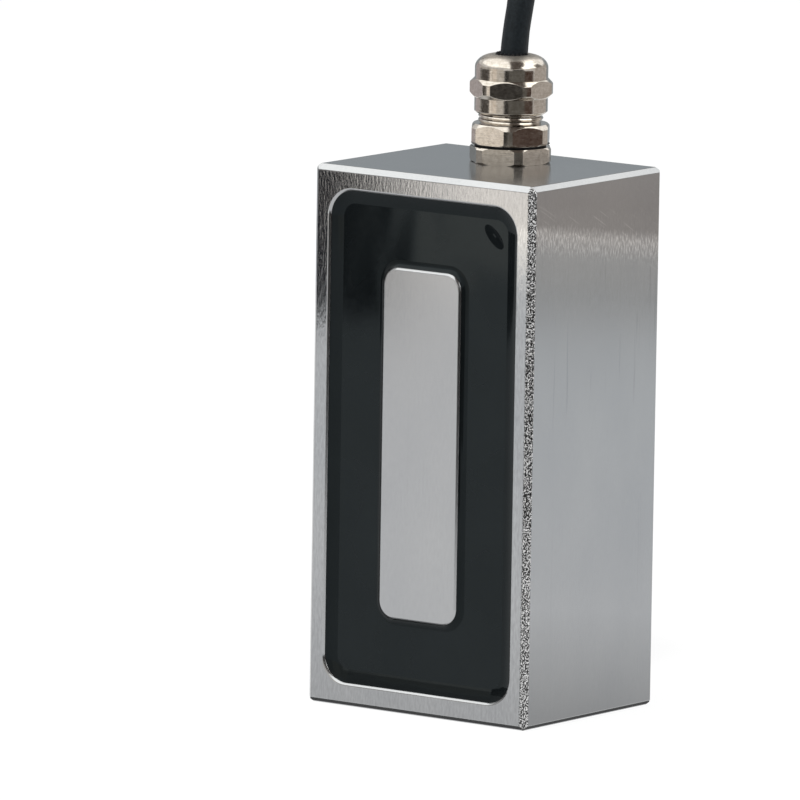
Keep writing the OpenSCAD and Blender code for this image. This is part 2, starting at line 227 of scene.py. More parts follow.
def bearingPoint(bearing, away, height):
    # bearings run from the camera's side of the magnet, in degrees, positive to the viewer's right
    a = math.radians(cameraSet["azimuth"] - 90 + bearing)
    return Vector((away * math.cos(a), away * math.sin(a), height))


lampSet = {"aim": (0, 0, 0.1), "lamps": [
    {"name": "leftBox", "bearing": -58, "away": 0.85, "height": 0.74, "size": (1.2, 0.6), "power": 6.5},
    {"name": "rightBox", "bearing": 58, "away": 0.85, "height": 0.66, "size": (0.8, 0.42), "power": 3.0},
    {"name": "overheadBox", "bearing": -112, "away": 0.68, "height": 0.98, "size": (0.6, 0.5), "power": 3.0}]}


def hangLamps(setup):
    for lamp in setup["lamps"]:
        data = bpy.data.lights.new(lamp["name"], "AREA")
        data.shape = "RECTANGLE"
        data.size, data.size_y = lamp["size"]
        data.energy = lamp["power"]
        light = addObject(lamp["name"], data)
        spot = bearingPoint(lamp["bearing"], lamp["away"], lamp["height"])
        turned = (Vector(setup["aim"]) - spot).to_track_quat("-Z", "Y").to_matrix().to_4x4()
        light.matrix_world = Matrix.Translation(spot) @ turned
        light.visible_glossy = False  # gloss sees the cards instead


hangLamps(lampSet)


def addCard(name, corners, shade):
    # only seen in gloss: it lights nothing and casts no shadow
    material = bpy.data.materials.new(name)
    material.use_nodes = True
    tree = material.node_tree
    tree.nodes.clear()
    glow = makeNode(tree, "ShaderNodeEmission", {"Color": (*shade, 1), "Strength": 1.0})
    out = makeNode(tree, "ShaderNodeOutputMaterial")
    join(tree, glow.outputs[0], out.inputs["Surface"])
    board = addBoard(name, corners, material)
    board.visible_camera = False
    board.visible_diffuse = False
    board.visible_shadow = False


# name: bearings, distance, heights, shade
cardSet = {
    "leftDark": ((-108, -73), 0.53, (0, 0.036), (0.03, 0.03, 0.034)),
    "leftDusk": ((-117, -73), 0.54, (0.036, 0.1), (0.13, 0.12, 0.11)),
    "leftHaze": ((-117, -73), 0.55, (0.1, 0.28), (0.7, 0.68, 0.66)),
    "leftRim": ((-72.7, -66), 0.6, (0, 0.05), (1.85, 1.75, 1.62)),
    "leftFaint": ((-72.7, -62), 0.61, (0, 0.26), (0.9, 0.85, 0.78)),
    "leftWarm": ((-62, -48), 0.6, (0, 0.26), (1.2, 1.1, 0.98)),
    "leftPale": ((-48, -24), 0.6, (0, 0.26), (0.85, 0.82, 0.77)),
    "frontFoot": ((2, 43), 0.25, (0, 0.067), (0.04, 0.038, 0.036)),
    "frontDim": ((-22, -8), 0.36, (0, 0.14), (0.055, 0.053, 0.05)),
    "frontLow": ((-23, 43), 0.42, (0, 0.14), (0.19, 0.186, 0.174)),
    "frontMid": ((4, 38), 0.42, (0.14, 0.21), (0.06, 0.055, 0.05)),
    "frontHigh": ((-4, 34), 0.6, (0.3, 0.75), (0.16, 0.14, 0.13)),
    "rightBrown": ((43, 73), 0.45, (0, 0.11), (0.105, 0.07, 0.057)),
    "rightGrey": ((76, 140), 0.62, (0, 0.3), (0.68, 0.64, 0.61)),
    "rightGleam": ((90, 126), 0.56, (0, 0.012), (1.4, 1.4, 1.4)),
    "backGrey": ((140, 212), 0.62, (0, 0.3), (0.38, 0.41, 0.43)),
    "leftGrey": ((-148, -118), 0.6, (0, 0.3), (0.62, 0.58, 0.6)),
    "leftBox": ((-92, -6), 0.8, (0.52, 0.9), (2.4, 2.4, 2.35)),
    "rightBox": ((38, 86), 0.8, (0.4, 0.85), (3.2, 3.2, 3.1)),
    "backHigh": ((160, 205), 0.8, (0.3, 0.8), (0.34, 0.32, 0.3)),
    "rightHigh": ((88, 118), 0.8, (0.3, 0.8), (0.34, 0.32, 0.3)),
    "rightGlow": ((119, 158), 0.9, (0.45, 1.05), (1.7, 1.7, 1.68)),
}


def standCards(cards):
    # the dark and light parts of the studio, as upright boards round the magnet
    for name, ((start, end), away, (low, high), shade) in cards.items():
        corners = [bearingPoint(bearing, away, z)
                   for bearing, z in ((start, low), (end, low), (end, high), (start, high))]
        addCard(name, corners, shade)


# name: shade, and corners as lengths to the camera's side and to the viewer's right
ceilingSet = {"height": 1.6, "boards": {
    "ceilingLeft": ((2.1, 2.1, 2.06), [(1.6, -0.12), (-0.45, -0.1), (-1.7, -0.35), (-1.7, -2.2), (1.6, -2.6)]),
    "ceilingDark": ((0.14, 0.12, 0.11), [(1.6, -0.1), (1.6, 1.3), (-0.25, 0.55), (-0.45, -0.08)]),
    "ceilingRight": ((2.8, 2.8, 2.72), [(1.3, 1.25), (1.3, 2.6), (-1.6, 2.6), (-1.6, 0.42), (-0.25, 0.5)]),
    "ceilingBack": ((0.4, 0.37, 0.35), [(-0.27, 0.47), (-1.6, 0.39), (-2.5, 0.5), (-2.5, -0.5), (-1.7, -0.33),
                                        (-0.47, -0.06)])}}


def hangCards(setup):
    for name, (shade, outline) in setup["boards"].items():
        spots = [(math.degrees(math.atan2(right, front)), math.hypot(front, right)) for front, right in outline]
        addCard(name, [bearingPoint(*spot, setup["height"]) for spot in spots], shade)


baseCardSet = {"half": (24.8 * mm, 19.8 * mm), "height": 0.2 * mm, "shade": (0.12, 0.12, 0.12)}


def layBaseCard(setup):
    # the shade under the housing
    addCard("baseShade", levelCorners(*setup["half"], setup["height"]), setup["shade"])


standCards(cardSet)
hangCards(ceilingSet)
layBaseCard(baseCardSet)
print("stage set")


# finishes

def faceValue(tree, name):
    return makeNode(tree, "ShaderNodeAttribute", attribute_name=name).outputs["Fac"]


# painted shade by height on the side and rim: the shades darken the bottom and the top end and lighten a streak
# below it; the marks are flecks and scratches
shadeAndWearSetup = {"fall": 0.14, "wobble": 0.7 * mm, "height": 100 * mm, "hatch": (1600, 1600, 60),
               "shades": [(0.0, (0.62, 0.62, 0.62)), (0.2, (0.9, 0.91, 0.92)), (0.78, (0.855, 0.885, 0.9)),
                          (0.85, (0.96, 0.985, 0.99)), (0.887, (1.22, 1.205, 1.18)),
                          (0.905, (0.8, 0.775, 0.755)), (0.95, (0.77, 0.745, 0.73)), (1.0, (0.8, 0.78, 0.77))],
               # noise scale, detail, lean, shades of the noise, and the heights that show it
               "marks": {"flecks": ((3400, 3400, 800), 2, 0, [(0.42, 0.86), (0.5, 0.98), (0.62, 1.4)],
                                    [(0.84, 0.0), (0.868, 1.0), (0.893, 1.0), (0.91, 0.15), (1.0, 0.0)]),
                         "slant": ((2400, 2400, 110), 1, -62, [(0.67, 1.0), (0.73, 1.35)],
                                   [(0.83, 0.0), (0.86, 1.0), (0.92, 0.6), (1.0, 0.2)]),
                         "upright": ((1300, 1300, 45), 1, 0, [(0.27, 0.86), (0.35, 1.0)],
                                     [(0.5, 0.0), (0.62, 0.8), (0.83, 0.8), (0.87, 0.1)])}}


def shadeAndWearTone(tree, setup):
    # painted shade along the height: darker at the bottom and at the top end, and a lighter streak below the
    # top end that falls towards the back, with flecks and fine scratches over it
    coords = makeNode(tree, "ShaderNodeTexCoord")
    along = makeNode(tree, "ShaderNodeVectorMath", {1: (0, setup["fall"], 1)}, operation="DOT_PRODUCT")
    join(tree, coords.outputs["Object"], along.inputs[0])
    hatch = objectNoise(tree, setup["hatch"], detail=3)
    shift = toRange(tree, hatch, -setup["wobble"], setup["wobble"])
    rise = combined(tree, "ADD", along.outputs["Value"], shift)
    place = toRange(tree, rise, 0.0, 1.0, 0.0, setup["height"])
    shadeAndWearColor = ramp(tree, place, setup["shades"])
    for scale, detail, lean, shades, zone in setup["marks"].values():
        marks = ramp(tree, objectNoise(tree, scale, detail=detail, lean=lean), shades)
        shadeAndWearColor = blendColors(tree, "MULTIPLY", ramp(tree, place, zone), shadeAndWearColor, marks)
    return shadeAndWearColor


scaleSet = {"edge": 25 * mm, "wide": 1.2 * mm, "ragged": 1.2 * mm, "face": -20 * mm, "deep": 1.1 * mm,
            "metallic": 0.15, "shade": [(0.44, 0.006), (0.51, 0.12), (0.58, 0.75)]}


def scaleBand(tree, grit, setup):
    # one along the upright corner at the right of the pole face, with a ragged edge on the rim
    coords = makeNode(tree, "ShaderNodeTexCoord")
    parts = makeNode(tree, "ShaderNodeSeparateXYZ")
    join(tree, coords.outputs["Object"], parts.inputs[0])
    inside = setup["edge"] - setup["wide"]
    start = toRange(tree, grit, inside - setup["ragged"] / 2, inside + setup["ragged"] / 2)
    front = makeNode(tree, "ShaderNodeMath", {1: setup["face"] + setup["deep"]}, operation="LESS_THAN")
    join(tree, parts.outputs["Y"], front.inputs[0])
    right = combined(tree, "GREATER_THAN", parts.outputs["X"], start)
    return combined(tree, "MULTIPLY", right, front.outputs[0])


steelSet = {"base": (0.39, 0.395, 0.4), "tone": [(0.3, (0.368, 0.376, 0.386)), (0.7, (0.405, 0.411, 0.416))],
            "cloud": (45, 45, 25), "grain": (2200, 2200, 600), "grainShade": [(0.34, 0.74), (0.64, 1.14)],
            "scratch": (700, 700, 15), "scratchShade": [(0.27, 0.62), (0.33, 1.0)], "grit": (4200, 4200, 3400),
            "uneven": 0.04, "relief": 0.02 * mm}


def groundSteel(setup):
    # ground along the height: fine marks, coarser on the rim, speckled scale along one corner, and painted
    # shade by height on the side and rim
    material, tree, shader = newFinish("groundSteel", setup["base"], metallic=1.0, roughness=0.14)
    grain = objectNoise(tree, setup["grain"], detail=4, roughness=0.6)
    scratches = objectNoise(tree, setup["scratch"], detail=2, distortion=0.4)
    cloud = objectNoise(tree, setup["cloud"], detail=3)
    grit = objectNoise(tree, setup["grit"], detail=3, roughness=0.6)
    grainy = faceValue(tree, "grainy")
    scale = scaleBand(tree, grit, scaleSet)
    color = ramp(tree, cloud, setup["tone"])
    # the last pair multiplies in the painted shade by height, with its streak and scratches
    for amount, shade in ((grainy, ramp(tree, grain, setup["grainShade"])),
                          (grainy, ramp(tree, scratches, setup["scratchShade"])),
                          (faceValue(tree, "worked"), shadeAndWearTone(tree, shadeAndWearSetup))):
        color = blendColors(tree, "MULTIPLY", amount, color, shade)
    color = blendColors(tree, "MIX", scale, color, ramp(tree, grit, scaleSet["shade"]))
    uneven = toRange(tree, grain, -setup["uneven"], setup["uneven"])
    dull = combined(tree, "ADD", faceValue(tree, "dull"), uneven)
    joinAll(tree, (color, shader.inputs["Base Color"]), (dull, shader.inputs["Roughness"]),
            (toRange(tree, scale, 1.0, scaleSet["metallic"]), shader.inputs["Metallic"]))
    bumpFrom(tree, shader, combined(tree, "MULTIPLY", grain, grainy), setup["relief"])
    return material


resinSkin = {"base": (0.005, 0.0064, 0.007), "tint": (0.8, 0.95, 1.0, 1.0), "specular": 0.2,
             "tone": [(0.35, (0.004, 0.0052, 0.0057)), (0.7, (0.006, 0.0075, 0.0082))],
             "cloud": (60, 60, 60), "dust": (900, 900, 900), "roughness": (0.03, 0.09),
             "waves": (75, 75, 28), "relief": 0.4 * mm, "wavy": 0.25}


def blackResin(setup):
    # glossy on the flat with a slightly wavy skin; painted shade where it climbs the steel and in the dimple,
    # as a weaker reflection there
    material, tree, shader = newFinish("blackResin", setup["base"], roughness=0.05, Specular_Tint=setup["tint"])
    cloud = objectNoise(tree, setup["cloud"], detail=3)
    dust = objectNoise(tree, setup["dust"], detail=3)
    waves = objectNoise(tree, setup["waves"], detail=1, distortion=0.5)
    # the specular level follows the painted shade of each face
    shadedGloss = toRange(tree, faceValue(tree, "shadedGloss"), 0.0, setup["specular"])
    joinAll(tree, (ramp(tree, cloud, setup["tone"]), shader.inputs["Base Color"]),
            (shadedGloss, shader.inputs["Specular IOR Level"]),
            (toRange(tree, dust, *setup["roughness"]), shader.inputs["Roughness"]))
    bumpFrom(tree, shader, waves, setup["relief"], setup["wavy"])
    return material


nickelSet = {"base": (0.48, 0.44, 0.39), "tone": [(0.3, (0.41, 0.372, 0.325)), (0.65, (0.53, 0.49, 0.44))],
             "haze": (1500, 1500, 1500), "roughness": (0.08, 0.19), "worn": 0.27, "rings": (250, 250, 7000),
             "ringShade": [(0.35, 0.65), (0.6, 1.0)], "ringShare": 0.35, "relief": 0.009 * mm}


def platedNickel(setup):
    # warm nickel over turned brass
    material, tree, shader = newFinish("platedNickel", setup["base"], metallic=1.0, roughness=0.18)
    rings = objectNoise(tree, setup["rings"], detail=3)
    haze = objectNoise(tree, setup["haze"], detail=4)
    color = blendColors(tree, "MULTIPLY", setup["ringShare"], ramp(tree, haze, setup["tone"]),
                        ramp(tree, rings, setup["ringShade"]))
    dull = combined(tree, "ADD", toRange(tree, haze, *setup["roughness"]),
                    toRange(tree, faceValue(tree, "worn"), 0.0, setup["worn"]))
    joinAll(tree, (color, shader.inputs["Base Color"]), (dull, shader.inputs["Roughness"]))
    bumpFrom(tree, shader, rings, setup["relief"])
    return material


def softRubber(name, tone, roughness, lighter=1.9, grain=2200, relief=0.03 * mm):
    material, tree, shader = newFinish(name, tone, roughness=roughness, Specular_IOR_Level=0.12)
    noise = objectNoise(tree, (grain,) * 3, detail=4)
    light = tuple(lighter * v for v in tone)
    joinAll(tree, (ramp(tree, noise, [(0.35, tone), (0.75, light)]), shader.inputs["Base Color"]),
            (toRange(tree, noise, roughness - 0.1, roughness + 0.12), shader.inputs["Roughness"]))
    bumpFrom(tree, shader, noise, relief)
    return material


def mouldedPlastic(name, tone, roughness, darker=0.8, grain=1600, relief=0.01 * mm):
    material, tree, shader = newFinish(name, tone, roughness=roughness)
    noise = objectNoise(tree, (grain,) * 3, detail=3)
    shade = tuple(darker * v for v in tone)
    joinAll(tree, (ramp(tree, noise, [(0.35, shade), (0.7, tone)]), shader.inputs["Base Color"]),
            (toRange(tree, noise, roughness - 0.06, roughness + 0.1), shader.inputs["Roughness"]))
    bumpFrom(tree, shader, noise, relief)
    return material


copperSet = {"base": (0.6, 0.28, 0.12), "wires": 400.0, "relief": 0.1 * mm,
             "tone": [(0.1, (0.22, 0.08, 0.03)), (0.6, (0.66, 0.31, 0.13))]}


def woundCopper(setup):
    # turns of enamelled wire, one band per wire along the depth
    material, tree, shader = newFinish("woundCopper", setup["base"], metallic=0.9, roughness=0.3)
    coords = makeNode(tree, "ShaderNodeTexCoord")
    wires = makeNode(tree, "ShaderNodeTexWave", {"Scale": setup["wires"], "Distortion": 0.3},
                     wave_type="BANDS", bands_direction="Y")
    join(tree, coords.outputs["Object"], wires.inputs["Vector"])
    join(tree, ramp(tree, wires.outputs["Fac"], setup["tone"]), shader.inputs["Base Color"])
    bumpFrom(tree, shader, wires.outputs["Fac"], setup["relief"])
    return material


tinSet = {"base": (0.66, 0.66, 0.65), "haze": (1800, 1800, 1800), "roughness": (0.18, 0.4),
          "tone": [(0.35, (0.5, 0.5, 0.49)), (0.7, (0.72, 0.72, 0.71))]}


def tinnedWire(setup):
    material, tree, shader = newFinish("tinnedWire", setup["base"], metallic=1.0, roughness=0.25)
    haze = objectNoise(tree, setup["haze"], detail=4)
    joinAll(tree, (ramp(tree, haze, setup["tone"]), shader.inputs["Base Color"]),
            (toRange(tree, haze, *setup["roughness"]), shader.inputs["Roughness"]))
    return material


plasticSet = {"darkNylon": ((0.05, 0.05, 0.052), 0.45), "tieNylon": ((0.02, 0.02, 0.021), 0.4),
              "ivoryNylon": ((0.72, 0.66, 0.5), 0.4), "amberTape": ((0.62, 0.36, 0.06), 0.25),
              "shrinkSleeve": ((0.02, 0.02, 0.02), 0.45), "brownCore": ((0.12, 0.045, 0.02), 0.35),
              "blueCore": ((0.02, 0.09, 0.34), 0.35)}

steel = groundSteel(steelSet)
resin = blackResin(resinSkin)
nickel = platedNickel(nickelSet)
rubber = softRubber("softRubber", (0.012, 0.012, 0.013), 0.55)
sheath = softRubber("cableSheath", (0.007, 0.0095, 0.0115), 0.42)
finishes = {name: mouldedPlastic(name, *look) for name, look in plasticSet.items()}
finishes["woundCopper"] = woundCopper(copperSet)
tin = tinnedWire(tinSet)
print("finishes mixed")


# mesh helpers

def roundEdges(piece, width, angle, segments=2):
    bevel = piece.modifiers.new("roundEdges", "BEVEL")
    bevel.width = width
    bevel.segments = segments
    bevel.limit_method = "ANGLE"
    bevel.angle_limit = math.radians(angle)
    flat = piece.modifiers.new("flatNormals", "WEIGHTED_NORMAL")
    flat.weight = 100
    flat.keep_sharp = True


def smoothFaces(mesh, angle):
    for face in mesh.polygons:
        face.use_smooth = True
    mesh.set_sharp_from_angle(angle=math.radians(angle))


def newPiece(name, mesh, material, slot, *replaced, smooth=30, edge=0, sharp=20):
    smoothFaces(mesh, smooth)
    piece = addObject(name, mesh)
    mesh.materials.clear()
    mesh.materials.append(material)
    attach(piece, "root")
    if replaced:
        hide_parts(*replaced)
    if edge:
        roundEdges(piece, edge, sharp)
    return piece


def creaseAround(mesh, chosen):
    # sharp edges between the chosen faces and the others, so that the flat ones shade flat
    form = bmesh.new()
    form.from_mesh(mesh)
    form.faces.ensure_lookup_table()
    for edge in form.edges:
        if len({chosen[face.index] for face in edge.link_faces}) > 1:
            edge.smooth = False
    form.to_mesh(mesh)
    form.free()


def cleanCopy(node, name, gap=1e-6, flat=0.3):
    # a merged copy of a CAD node, its flat faces joined up again
    mesh = nodes[node].data.copy()
    mesh.name = name
    form = bmesh.new()
    form.from_mesh(mesh)
    bmesh.ops.remove_doubles(form, verts=form.verts, dist=gap)
    bmesh.ops.dissolve_limit(form, angle_limit=math.radians(flat), verts=form.verts, edges=form.edges)
    form.to_mesh(mesh)
    form.free()
    return mesh


def loft(form, rings, closed):
    # quads from ring to ring, then back to the first one, or a cap on both ends
    pairs = list(zip(rings, rings[1:]))
    if closed:
        pairs.append((rings[-1], rings[0]))
    for here, there in pairs:
        for k in range(len(here)):
            j = (k + 1) % len(here)
            form.faces.new((here[k], there[k], there[j], here[j]))
    if not closed:
        form.faces.new(rings[0])
        form.faces.new(list(reversed(rings[-1])))


def meshFrom(form, name):
    # ends a form with its faces turned outwards
    bmesh.ops.recalc_face_normals(form, faces=form.faces)
    mesh = bpy.data.meshes.new(name)
    form.to_mesh(mesh)
    form.free()
    return mesh


def joinMeshes(name, meshes):
    form = bmesh.new()
    for mesh in meshes:
        form.from_mesh(mesh)
    whole = bpy.data.meshes.new(name)
    form.to_mesh(whole)
    form.free()
    for mesh in meshes:
        bpy.data.meshes.remove(mesh)
    return whole


# housing and potting resin

# per face: grain, roughness, and the share of painted shade by height with its streak and scratches
housingSet = {"edgeRound": 0.12 * mm, "coreHalf": 15 * mm, "square": 0.9, "marks": ("grainy", "dull", "worked"),
              "rim": (0.45, 0.06, 0.4), "core": (0.12, 0.14, 0.0), "top": (0.1, 0.2, 0.0),
              "side": (0.08, 0.13, 1.0), "plain": (0.1, 0.19, 0.0)}


def makeHousing(setup):
    mesh = cleanCopy("housing", "steelHousing")
    for name in setup["marks"]:
        mesh.attributes.new(name, "FLOAT", "FACE")
    layers = [mesh.attributes[name].data for name in setup["marks"]]
    for face in mesh.polygons:
        kind = "side" if face.normal.x > setup["square"] else "plain"
        if face.normal.y < -setup["square"]:
            wide = max(abs(mesh.vertices[i].co.x) for i in face.vertices)
            kind = "core" if wide < setup["coreHalf"] else "rim"
        elif face.normal.z > setup["square"]:
            kind = "top"
        for layer, value in zip(layers, setup[kind]):
            layer[face.index].value = value
    newPiece("steelHousing", mesh, steel, "steel", "housing", edge=setup["edgeRound"])


makeHousing(housingSet)

# painted shade on the resin: the reflection is cut on the band where it climbs the steel, and nearly all of it
# in the dimple
resinSet = {"flatTilt": 0.999, "bandShadedGloss": 0.7, "dimpleShadedGloss": 0.1, "dimpleAt": (15.53 * mm, 90.03 * mm),
            "dimpleTurn": 45, "dimpleHalf": (2.85 * mm, 1.25 * mm), "smooth": 25}


def makeResin(setup):
    mesh = cleanCopy("potting_resin", "resinFill")
    shadedGloss = mesh.attributes.new("shadedGloss", "FLOAT", "FACE")
    turn = math.radians(setup["dimpleTurn"])
    for face in mesh.polygons:
        x, z = face.center.x - setup["dimpleAt"][0], face.center.z - setup["dimpleAt"][1]
        along = abs(x * math.cos(turn) - z * math.sin(turn))
        across = abs(x * math.sin(turn) + z * math.cos(turn))
        inDimple = along < setup["dimpleHalf"][0] and across < setup["dimpleHalf"][1]
        level = 1.0
        if face.normal.y > -setup["flatTilt"]:
            level = setup["dimpleShadedGloss"] if inDimple else setup["bandShadedGloss"]
        shadedGloss.data[face.index].value = level
    newPiece("resinFill", mesh, resin, "resin", "potting_resin", smooth=setup["smooth"])
    creaseAround(mesh, [face.normal.y < -setup["flatTilt"] for face in mesh.polygons])


makeResin(resinSet)
print("housing and resin done")


# cable gland: sizes from the solids, edges rounded here

nutLow, nutHigh = (Vector(v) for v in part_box("lock_nut"))
washerLow, washerHigh = (Vector(v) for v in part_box("sealing_washer"))
bodyLow, bodyHigh = (Vector(v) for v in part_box("gland_body"))
domeLow, domeHigh = (Vector(v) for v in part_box("dome_nut"))
gripLow, gripHigh = (Vector(v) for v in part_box("sealing_grommet"))
glandAt = ((domeLow.x + domeHigh.x) / 2, (domeLow.y + domeHigh.y) / 2)

glandSet = {"flat": 7.0 * mm, "corner": 7.65 * mm, "chamfer": 0.8 * mm, "thread": 6.0 * mm, "room": 0.05 * mm,
            "pitch": 0.8 * mm, "threadDepth": 0.4 * mm, "runOut": 0.35, "bore": 3.8 * mm, "seat": 4.8 * mm,
            "seatDeep": 4 * mm, "bodyHexHigh": 3.7 * mm, "collar": 6.75 * mm, "collarCone": 0.35 * mm,
            "collarHigh": 1.9 * mm, "skirtHigh": 2.9 * mm, "hexHigh": 3.5 * mm, "crown": 2.5 * mm,
            "crownSteps": 15, "mouth": 3.1 * mm, "mouthRound": 0.1 * mm, "mouthDeep": 1.35 * mm,
            "throat": (4.2 * mm, 4.9 * mm), "bodySink": 0.1 * mm, "domeSink": 0.2 * mm,
            "washerRound": 0.1 * mm, "edgeRound": 0.11 * mm, "smooth": 18, "nutTurn": 18, "bodyTurn": 3,
            "domeTurn": 29, "wornTilt": 0.74, "wornFade": 0.22}


def ringOf(name, columns):
    # a ring round the gland's axis, from an angle and (radius, height) pairs for each column
    x, y = glandAt
    form = bmesh.new()
    loft(form, [[form.verts.new((x + r * math.cos(a), y + r * math.sin(a), z)) for r, z in column]
                for a, column in columns], closed=True)
    return meshFrom(form, name)


def lathe(name, profile, segments=96):
    # turns a closed profile once round
    return ringOf(name, [(2 * math.pi * k / segments, profile) for k in range(segments)])


def hexColumns(setup, flatSteps=10, landSteps=4):
    # angles round one hexagon: the flats in steps, and the turned lands between them
    land = math.acos(setup["flat"] / setup["corner"])
    columns = []
    for side in range(6):
        middle = math.radians(60 * side)
        columns += [middle - land + 2 * land * k / flatSteps for k in range(flatSteps)]
        columns += [middle + land + (math.radians(60) - 2 * land) * k / landSteps for k in range(landSteps)]
    return columns


def turnedHexagon(name, setup, low, high, turn, lowChamfer, highChamfer, inner):
    # a hexagon with its corners turned down and its ends coned, as a ring round the inner radius
    corner = setup["corner"]
    columns = []
    for a in hexColumns(setup):
        off = (a + math.radians(30)) % math.radians(60) - math.radians(30)
        r = min(setup["flat"] / math.cos(off), corner)
        drop = corner - r
        column = [(inner, low), (corner - lowChamfer, low), (r, low + max(lowChamfer - drop, 0)),
                  (r, high - max(highChamfer - drop, 0)), (corner - highChamfer, high), (inner, high)]
        columns.append((a + math.radians(turn + 30), column))
    return ringOf(name, columns)


def newTree(name, sizes):
    # a geometry tree with named inputs and their identifiers
    tree = bpy.data.node_groups.new(name, "GeometryNodeTree")
    sockets = {}
    for label, start in sizes.items():
        kind = "NodeSocketInt" if isinstance(start, int) else "NodeSocketFloat"
        socket = tree.interface.new_socket(label, in_out="INPUT", socket_type=kind)
        socket.default_value = start
        sockets[label] = socket.identifier
    socket = tree.interface.new_socket("Finish", in_out="INPUT", socket_type="NodeSocketMaterial")
    sockets["Finish"] = socket.identifier
    tree.interface.new_socket("Geometry", in_out="OUTPUT", socket_type="NodeSocketGeometry")
    return tree, sockets, makeNode(tree, "NodeGroupInput").outputs


def endTree(tree, given, shape):
    real = makeNode(tree, "GeometryNodeRealizeInstances")
    finish = makeNode(tree, "GeometryNodeSetMaterial")
    out = makeNode(tree, "NodeGroupOutput")
    joinAll(tree, (shape, real.inputs["Geometry"]), (real.outputs["Geometry"], finish.inputs["Geometry"]),
            (given["Finish"], finish.inputs["Material"]), (finish.outputs["Geometry"], out.inputs["Geometry"]))


threadSet = {"sides": 8, "steps": 64, "fill": 0.46}


def threadTree(setup):
    # geometry nodes: one ridge wound along an upright screw line
    tree, sockets, given = newTree("screwThread", {"Radius": 0.006, "Pitch": 0.0015, "Turns": 3.0,
                                                   "Depth": 0.0005, "Steps": setup["steps"]})
    rise = makeNode(tree, "ShaderNodeMath", operation="MULTIPLY")
    spiral = makeNode(tree, "GeometryNodeCurveSpiral")
    upright = makeNode(tree, "GeometryNodeSetCurveNormal", mode="Z_UP")
    section = makeNode(tree, "GeometryNodeCurvePrimitiveCircle", {"Resolution": setup["sides"]})
    section.inputs["Radius"].default_value = 1.0
    half = makeNode(tree, "ShaderNodeMath", {1: setup["fill"]}, operation="MULTIPLY")
    scale = makeNode(tree, "ShaderNodeCombineXYZ", {"Z": 1.0})
    shape = makeNode(tree, "GeometryNodeTransform")
    sweep = makeNode(tree, "GeometryNodeCurveToMesh", {"Fill Caps": True})
    joinAll(tree, (given["Pitch"], rise.inputs[0]), (given["Turns"], rise.inputs[1]),
            (given["Steps"], spiral.inputs["Resolution"]), (given["Turns"], spiral.inputs["Rotations"]),
            (given["Radius"], spiral.inputs["Start Radius"]), (given["Radius"], spiral.inputs["End Radius"]),
            (rise.outputs[0], spiral.inputs["Height"]), (given["Pitch"], half.inputs[0]),
            (given["Depth"], scale.inputs["X"]), (half.outputs[0], scale.inputs["Y"]),
            (section.outputs["Curve"], shape.inputs["Geometry"]), (scale.outputs[0], shape.inputs["Scale"]),
            (spiral.outputs["Curve"], upright.inputs["Curve"]),
            (upright.outputs["Curve"], sweep.inputs["Curve"]),
            (shape.outputs["Geometry"], sweep.inputs["Profile Curve"]))
    endTree(tree, given, sweep.outputs["Mesh"])
    return tree, sockets


def grow(name, tree, sockets, values):
    # runs a tree on an empty mesh and returns the result as a plain mesh
    carrier = addObject(name, bpy.data.meshes.new(name))
    modifier = carrier.modifiers.new("grow", "NODES")
    modifier.node_group = tree
    for label, value in values.items():
        modifier[sockets[label]] = value
    bpy.context.view_layer.update()
    evaluated = carrier.evaluated_get(bpy.context.evaluated_depsgraph_get())
    mesh = bpy.data.meshes.new_from_object(evaluated)
    bpy.data.objects.remove(carrier)
    return mesh


thread, threadSockets = threadTree(threadSet)


def screwRidge(radius, pitch, turns, depth, finish):
    values = {"Radius": radius, "Pitch": pitch, "Turns": turns, "Depth": depth, "Steps": threadSet["steps"],
              "Finish": finish}
    return grow("ridge", thread, threadSockets, values)


def makeLockNut(setup):
    mesh = turnedHexagon("lockNut", setup, nutLow.z, nutHigh.z, setup["nutTurn"], setup["chamfer"] / 2,
                         setup["chamfer"] / 2, setup["thread"] + setup["room"])
    newPiece("lockNut", mesh, nickel, "nickel", "lock_nut", smooth=setup["smooth"], edge=setup["edgeRound"])


def makeWasher(setup):
    inner, outer = setup["thread"] + setup["room"], (washerHigh.x - washerLow.x) / 2
    mesh = lathe("sealWasher", [(inner, washerLow.z), (outer, washerLow.z), (outer, washerHigh.z),
                                (inner, washerHigh.z)])
    newPiece("sealWasher", mesh, rubber, "rubber", "sealing_washer", edge=setup["washerRound"])


def makeGlandBody(setup):
    hexLow = washerHigh.z
    hexHigh = hexLow + setup["bodyHexHigh"]
    root = setup["thread"] - setup["threadDepth"]
    bore, seat, seatLow = setup["bore"], setup["seat"], bodyHigh.z - setup["seatDeep"]
    neck = lathe("neck", [(bore, bodyLow.z), (root, bodyLow.z), (root, bodyHigh.z), (seat, bodyHigh.z),
                          (seat, seatLow), (bore, seatLow)])
    hexagon = turnedHexagon("hexagon", setup, hexLow, hexHigh, setup["bodyTurn"], setup["chamfer"] / 2,
                            setup["chamfer"], root - setup["bodySink"])
    ridges = []
    for low, high in ((bodyLow.z, hexLow), (hexHigh, bodyHigh.z)):
        turns = (high - low) / setup["pitch"] - 2 * setup["runOut"]
        ridge = screwRidge(root, setup["pitch"], turns, setup["threadDepth"], nickel)
        ridge.transform(Matrix.Translation((*glandAt, low + setup["runOut"] * setup["pitch"])))
        ridges.append(ridge)
    mesh = joinMeshes("glandBody", [neck, hexagon] + ridges)
    newPiece("glandBody", mesh, nickel, "nickel", "gland_body", smooth=setup["smooth"], edge=setup["edgeRound"])


